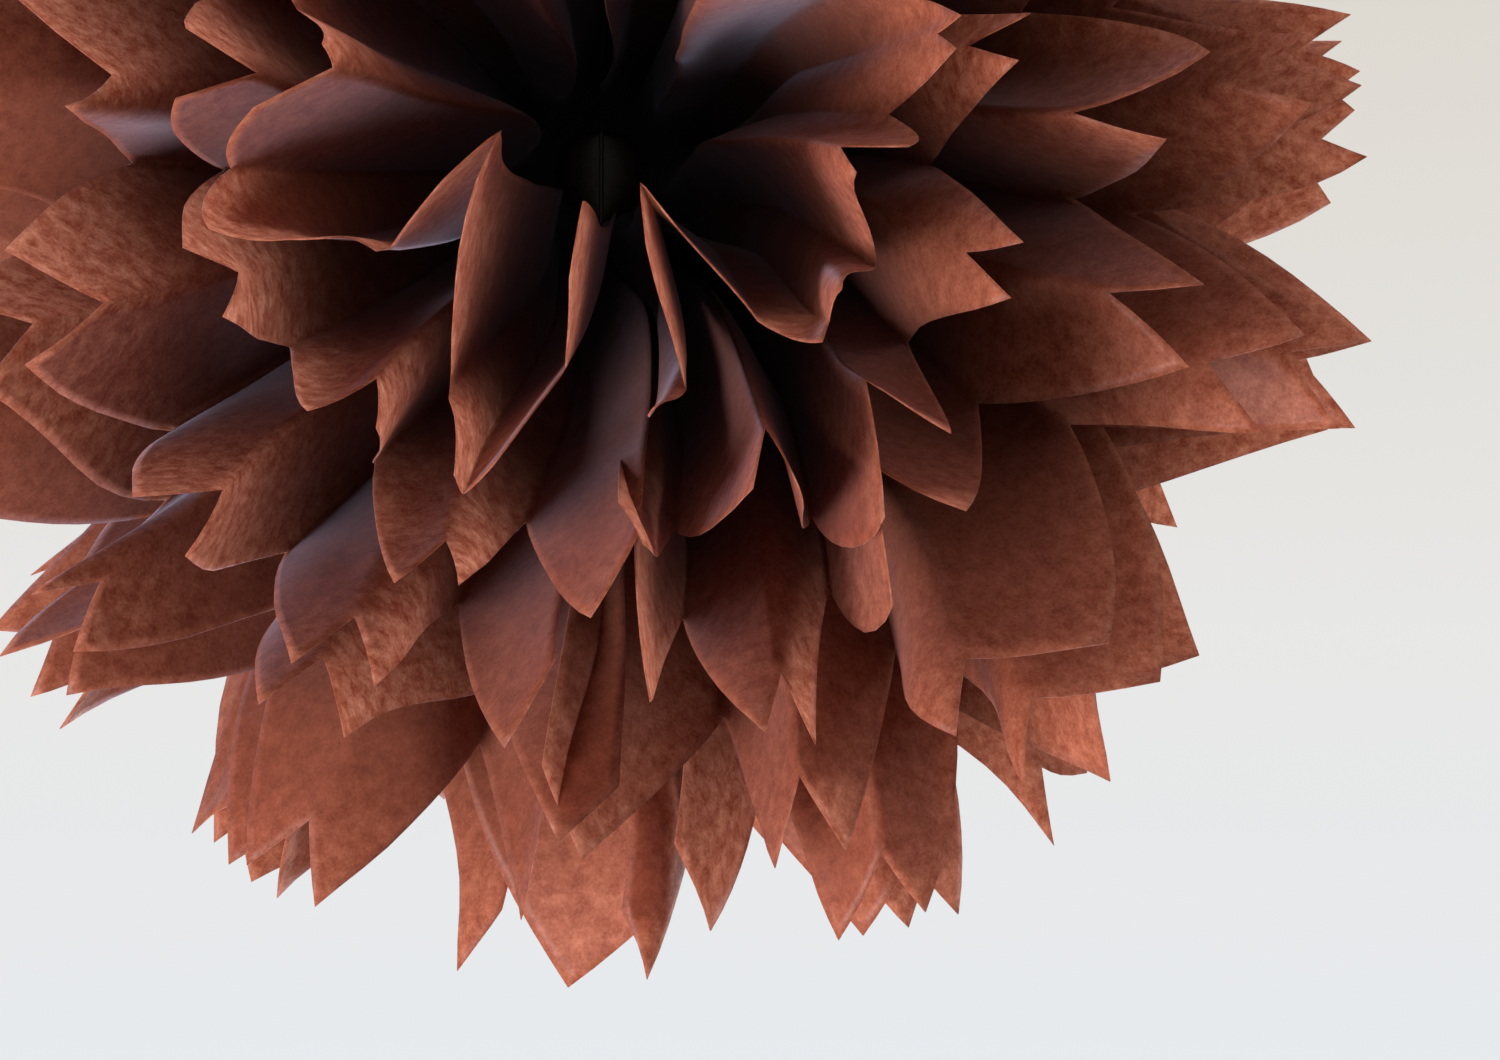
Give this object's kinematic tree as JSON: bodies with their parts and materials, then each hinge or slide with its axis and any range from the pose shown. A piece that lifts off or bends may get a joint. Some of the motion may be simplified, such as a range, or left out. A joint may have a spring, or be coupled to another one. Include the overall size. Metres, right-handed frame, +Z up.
{
  "type": "tissue paper pom pom",
  "caption": "Hanging ball of brown tissue paper: pleated sheets tied at the middle with soft wire, cut to points and pulled apart all round.",
  "frame": {"origin": "middle of the tie, at the centre of the bundle of sheets", "axes": "+Z up along the wire's twisted tail, -Y to the front, where the six front sheets open, X along the pleats of the strip"},
  "size_m": [0.3603, 0.352, 0.3541],
  "materials": {
    "tissue_paper": "thin dull tissue that lets a little light through",
    "tie_wire": "soft craft wire with a dull dark green cover"
  },
  "bodies": {
    "root": {"tissue_sheet_01": "tissue_paper", "tissue_sheet_02": "tissue_paper", "tissue_sheet_03": "tissue_paper", "tissue_sheet_04": "tissue_paper", "tissue_sheet_05": "tissue_paper", "tissue_sheet_06": "tissue_paper", "tissue_sheet_07": "tissue_paper", "tissue_sheet_08": "tissue_paper", "tissue_sheet_09": "tissue_paper", "tissue_sheet_10": "tissue_paper", "tissue_sheet_11": "tissue_paper", "tissue_sheet_12": "tissue_paper", "tie_wire": "tie_wire"}
  },
  "joints": []
}
